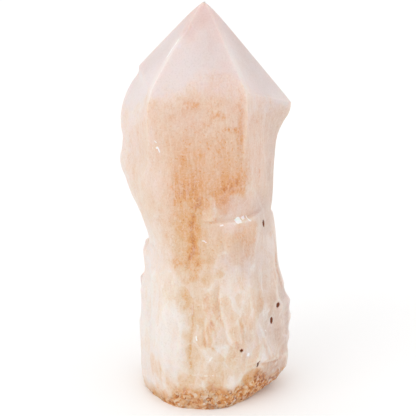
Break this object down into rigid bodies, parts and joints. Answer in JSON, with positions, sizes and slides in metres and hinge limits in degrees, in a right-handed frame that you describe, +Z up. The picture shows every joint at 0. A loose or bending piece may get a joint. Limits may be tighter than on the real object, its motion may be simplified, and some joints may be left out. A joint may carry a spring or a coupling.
{
  "type": "quartz point",
  "caption": "Upright milky quartz point with a six-sided pyramid head, waisted body, shell-shaped break scars and smaller crystals at its broken foot, resting on a flat cut.",
  "frame": {"origin": "middle of the object's outline on the flat cut that it rests on", "axes": "+Z up along the crystal to its tip, -Y towards the front face, +X to the right seen from the front"},
  "size_m": [0.0633, 0.0574, 0.1496],
  "materials": {
    "quartz": "milky translucent quartz, pink-white at the head and peach lower down, glossy on the flat faces and shell-shaped breaks, dull and ochre on the crust at the foot"
  },
  "bodies": {
    "root": {"quartz_point": "quartz"}
  },
  "joints": []
}
